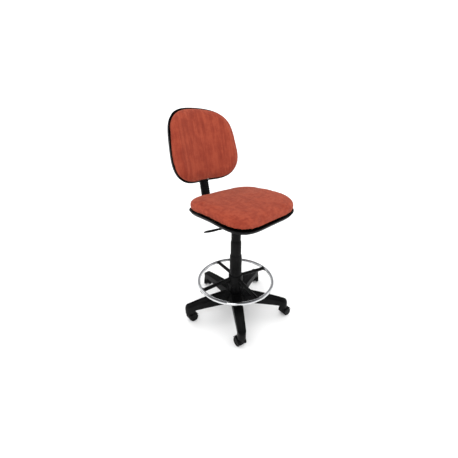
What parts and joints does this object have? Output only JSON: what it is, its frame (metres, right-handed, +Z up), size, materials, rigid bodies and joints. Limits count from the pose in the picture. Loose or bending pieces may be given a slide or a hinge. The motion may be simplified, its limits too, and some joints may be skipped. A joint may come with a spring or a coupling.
{
  "type": "swivel stool",
  "caption": "Height-adjustable swivel stool with upholstered seat and backrest, telescopic column, foot ring and castor base.",
  "frame": {"origin": "on the floor, under the axis of the column", "axes": "+Z up, -Y towards where the sitter faces, +X to the sitter's left"},
  "size_m": [0.6387, 0.6332, 1.1637],
  "materials": {
    "base_nylon": "fine moulded grain",
    "castor_nylon": "satin moulded",
    "wheel_nylon": "satin, slightly worn",
    "cover_plastic": "satin moulded",
    "frame_plastic": "satin moulded",
    "shell_plastic": "fine leather-like mould grain",
    "knob_plastic": "satin moulded",
    "gaiter_rubber": "matt bellows",
    "chrome": "bright chrome plating",
    "zinc_steel": "zinc plated",
    "black_steel": "black powder coat",
    "acetal": "natural moulded",
    "plywood": "moulded birch ply",
    "red_fabric": "rust-red woven upholstery"
  },
  "bodies": {
    "base": {"star_base": "base_nylon", "hub_sleeve": "zinc_steel", "lift_tube": "black_steel", "guide_bush": "acetal", "thrust_bearing": "zinc_steel", "cover_lower": "cover_plastic"},
    "cover_middle": {"cover_middle": "cover_plastic"},
    "lift_rod": {"piston_rod": "zinc_steel", "rod_clip": "zinc_steel"},
    "seat": {"lift_cylinder": "black_steel", "cover_upper": "cover_plastic", "mechanism": "black_steel", "lever_pin": "zinc_steel", "seat_board": "plywood", "seat_bolts": "zinc_steel", "seat_t_nuts": "zinc_steel", "arm_t_nuts": "zinc_steel", "shell_screws": "zinc_steel", "seat_shell": "shell_plastic", "seat_cushion": "red_fabric"},
    "height_lever": {"lever_rod": "black_steel", "lever_paddle": "knob_plastic"},
    "release_button": {"release_button": "acetal"},
    "ring_carrier": {"ring_collet": "frame_plastic"},
    "foot_ring": {"ring_tube": "chrome", "ring_frame": "frame_plastic"},
    "ring_lock_nut": {"ring_lock_nut": "frame_plastic"},
    "depth_knob": {"depth_knob": "knob_plastic"},
    "back_bar": {"back_bar": "black_steel", "gaiter": "gaiter_rubber"},
    "back_carrier": {"back_carrier": "black_steel", "pivot_pins": "zinc_steel"},
    "height_knob": {"height_knob": "knob_plastic"},
    "backrest": {"back_bracket": "black_steel", "back_board": "plywood", "back_bolts": "zinc_steel", "back_shell": "shell_plastic", "back_cushion": "red_fabric"},
    "castor_1": {"castor_hood_1": "castor_nylon", "castor_pins_1": "zinc_steel"},
    "wheel_left_1": {"wheel_left_1": "wheel_nylon"},
    "wheel_right_1": {"wheel_right_1": "wheel_nylon"},
    "castor_2": {"castor_hood_2": "castor_nylon", "castor_pins_2": "zinc_steel"},
    "wheel_left_2": {"wheel_left_2": "wheel_nylon"},
    "wheel_right_2": {"wheel_right_2": "wheel_nylon"},
    "castor_3": {"castor_hood_3": "castor_nylon", "castor_pins_3": "zinc_steel"},
    "wheel_left_3": {"wheel_left_3": "wheel_nylon"},
    "wheel_right_3": {"wheel_right_3": "wheel_nylon"},
    "castor_4": {"castor_hood_4": "castor_nylon", "castor_pins_4": "zinc_steel"},
    "wheel_left_4": {"wheel_left_4": "wheel_nylon"},
    "wheel_right_4": {"wheel_right_4": "wheel_nylon"},
    "castor_5": {"castor_hood_5": "castor_nylon", "castor_pins_5": "zinc_steel"},
    "wheel_left_5": {"wheel_left_5": "wheel_nylon"},
    "wheel_right_5": {"wheel_right_5": "wheel_nylon"}
  },
  "joints": [
    {"name": "seat_swivel", "type": "hinge", "parent": "base", "child": "lift_rod", "pos_m": [0, 0, 0.1], "axis": [0, 0, 1], "continuous": true},
    {"name": "seat_height", "type": "slide", "parent": "lift_rod", "child": "seat", "axis": [0, 0, 1], "range_m": [-0.13, 0.07]},
    {"name": "cover_middle_slide", "type": "slide", "parent": "base", "child": "cover_middle", "axis": [0, 0, 1], "range_m": [-0.065, 0.035]},
    {"name": "height_lever_lift", "type": "hinge", "parent": "seat", "child": "height_lever", "pos_m": [-0.03, 0, 0.666], "axis": [0, 1, 0], "range_deg": [0, 5], "stiffness_Nm_per_rad": 4, "springref_deg": -4.58},
    {"name": "release_button_press", "type": "slide", "parent": "seat", "child": "release_button", "axis": [0, 0, -1], "range_m": [0, 0.003]},
    {"name": "foot_ring_height", "type": "slide", "parent": "base", "child": "ring_carrier", "axis": [0, 0, 1], "range_m": [-0.03, 0.1]},
    {"name": "foot_ring_turn", "type": "hinge", "parent": "ring_carrier", "child": "foot_ring", "pos_m": [0, 0, 0.219], "axis": [0, 0, 1], "continuous": true},
    {"name": "foot_ring_lock", "type": "hinge", "parent": "ring_carrier", "child": "ring_lock_nut", "pos_m": [0, 0, 0.188], "axis": [0, 0, 1], "range_deg": [0, 90]},
    {"name": "back_depth", "type": "slide", "parent": "seat", "child": "back_bar", "axis": [0, 1, 0], "range_m": [-0.025, 0.025]},
    {"name": "depth_knob_turn", "type": "hinge", "parent": "seat", "child": "depth_knob", "pos_m": [0, 0.087, 0.584], "axis": [0, 0, 1], "range_deg": [0, 270]},
    {"name": "back_height", "type": "slide", "parent": "back_bar", "child": "back_carrier", "axis": [0, 0.1822, 0.9833], "range_m": [-0.03, 0.04], "deforming": ["gaiter"]},
    {"name": "height_knob_turn", "type": "hinge", "parent": "back_carrier", "child": "height_knob", "pos_m": [0, 0.28337, 0.8673], "axis": [0, 0.9833, -0.1822], "range_deg": [0, 270]},
    {"name": "back_tilt", "type": "hinge", "parent": "back_carrier", "child": "backrest", "pos_m": [0, 0.28337, 0.8673], "axis": [1, 0, 0], "range_deg": [-4, 4]},
    {"name": "castor_1_swivel", "type": "hinge", "parent": "base", "child": "castor_1", "pos_m": [-0.19155, -0.22828, 0.06], "axis": [0, 0, 1], "continuous": true},
    {"name": "wheel_left_1_roll", "type": "hinge", "parent": "castor_1", "child": "wheel_left_1", "pos_m": [-0.18637, -0.20896, 0.025], "axis": [-0.9659, 0.2588, 0], "continuous": true},
    {"name": "wheel_right_1_roll", "type": "hinge", "parent": "castor_1", "child": "wheel_right_1", "pos_m": [-0.18637, -0.20896, 0.025], "axis": [-0.9659, 0.2588, 0], "continuous": true},
    {"name": "castor_2_swivel", "type": "hinge", "parent": "base", "child": "castor_2", "pos_m": [0.15792, -0.25272, 0.06], "axis": [0, 0, 1], "continuous": true},
    {"name": "wheel_left_2_roll", "type": "hinge", "parent": "castor_2", "child": "wheel_left_2", "pos_m": [0.17761, -0.25619, 0.025], "axis": [0.1736, 0.9848, 0], "continuous": true},
    {"name": "wheel_right_2_roll", "type": "hinge", "parent": "castor_2", "child": "wheel_right_2", "pos_m": [0.17761, -0.25619, 0.025], "axis": [0.1736, 0.9848, 0], "continuous": true},
    {"name": "castor_3_swivel", "type": "hinge", "parent": "base", "child": "castor_3", "pos_m": [0.28915, 0.07209, 0.06], "axis": [0, 0, 1], "continuous": true},
    {"name": "wheel_left_3_roll", "type": "hinge", "parent": "castor_3", "child": "wheel_left_3", "pos_m": [0.30447, 0.08495, 0.025], "axis": [-0.6428, 0.766, 0], "continuous": true},
    {"name": "wheel_right_3_roll", "type": "hinge", "parent": "castor_3", "child": "wheel_right_3", "pos_m": [0.30447, 0.08495, 0.025], "axis": [-0.6428, 0.766, 0], "continuous": true},
    {"name": "castor_4_swivel", "type": "hinge", "parent": "base", "child": "castor_4", "pos_m": [0.02079, 0.29727, 0.06], "axis": [0, 0, 1], "continuous": true},
    {"name": "wheel_left_4_roll", "type": "hinge", "parent": "castor_4", "child": "wheel_left_4", "pos_m": [0.03493, 0.31142, 0.025], "axis": [-0.7071, 0.7071, 0], "continuous": true},
    {"name": "wheel_right_4_roll", "type": "hinge", "parent": "castor_4", "child": "wheel_right_4", "pos_m": [0.03493, 0.31142, 0.025], "axis": [-0.7071, 0.7071, 0], "continuous": true},
    {"name": "castor_5_swivel", "type": "hinge", "parent": "base", "child": "castor_5", "pos_m": [-0.2763, 0.11163, 0.06], "axis": [0, 0, 1], "continuous": true},
    {"name": "wheel_left_5_roll", "type": "hinge", "parent": "castor_5", "child": "wheel_left_5", "pos_m": [-0.25638, 0.10989, 0.025], "axis": [0.0872, 0.9962, 0], "continuous": true},
    {"name": "wheel_right_5_roll", "type": "hinge", "parent": "castor_5", "child": "wheel_right_5", "pos_m": [-0.25638, 0.10989, 0.025], "axis": [0.0872, 0.9962, 0], "continuous": true}
  ],
  "couplings": [
    {"joint": "cover_middle_slide", "follows": "seat_height", "ratio": 0.5},
    {"joint": "release_button_press", "follows": "height_lever_lift", "m_per_rad": 0.03}
  ]
}
